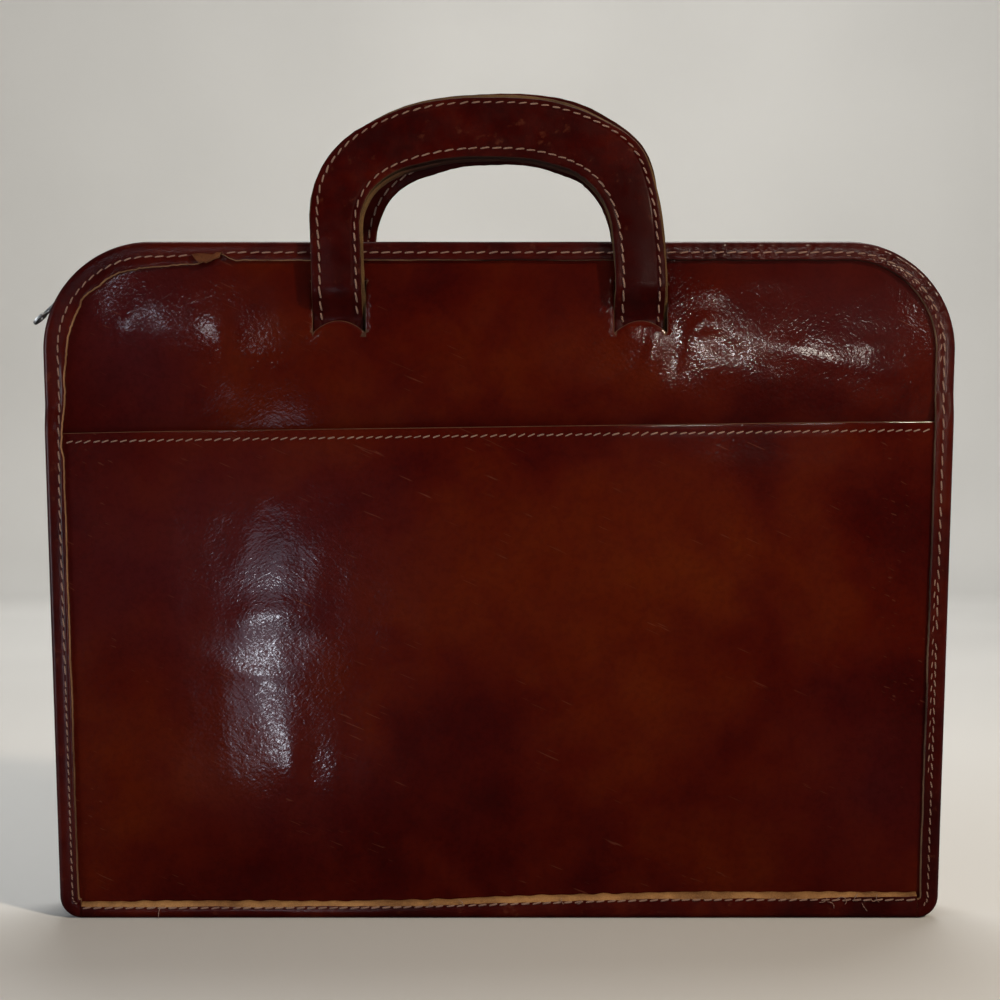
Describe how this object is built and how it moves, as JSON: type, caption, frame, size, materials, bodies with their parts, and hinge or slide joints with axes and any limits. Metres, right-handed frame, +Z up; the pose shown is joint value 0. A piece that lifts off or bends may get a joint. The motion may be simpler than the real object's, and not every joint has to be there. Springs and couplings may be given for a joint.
{
  "type": "document case",
  "caption": "Slim zip-round leather document case standing on its base, with a wide front slip pocket and two U-shaped handles.",
  "frame": {"origin": "on the ground under the middle of the base strip, halfway between the two panels' stitched edges", "axes": "+Z up, +X to the right seen from the front, and the front with the slip pocket faces -Y"},
  "size_m": [0.4074, 0.0478, 0.3601],
  "materials": {
    "panel_leather": "glossy polished, dark red-brown with lighter clouds",
    "pocket_leather": "glossy polished, dark red-brown with lighter clouds",
    "trim_leather": "satin, with pale raw cut edges",
    "handle_leather": "satin, with pale raw cut edges",
    "zip_tape": "woven",
    "zip_metal": "polished nickel plate"
  },
  "bodies": {
    "case": {"front_panel": "panel_leather", "rear_panel": "panel_leather", "front_pocket": "pocket_leather", "front_binding": "trim_leather", "rear_binding": "trim_leather", "base_strip": "trim_leather", "left_gusset": "trim_leather", "right_gusset": "trim_leather", "front_zip_tape": "zip_tape", "rear_zip_tape": "zip_tape", "zip_teeth": "zip_metal", "zip_slider": "zip_metal", "front_handle_outer": "handle_leather", "front_handle_inner": "handle_leather", "rear_handle_outer": "handle_leather", "rear_handle_inner": "handle_leather"},
    "pull": {"zip_pull": "zip_metal"}
  },
  "joints": [
    {"name": "zip_pull_hinge", "type": "hinge", "parent": "case", "child": "pull", "pos_m": [-0.19226, 0, 0.2749], "axis": [0, 1, 0], "range_deg": [-3, 157]}
  ]
}
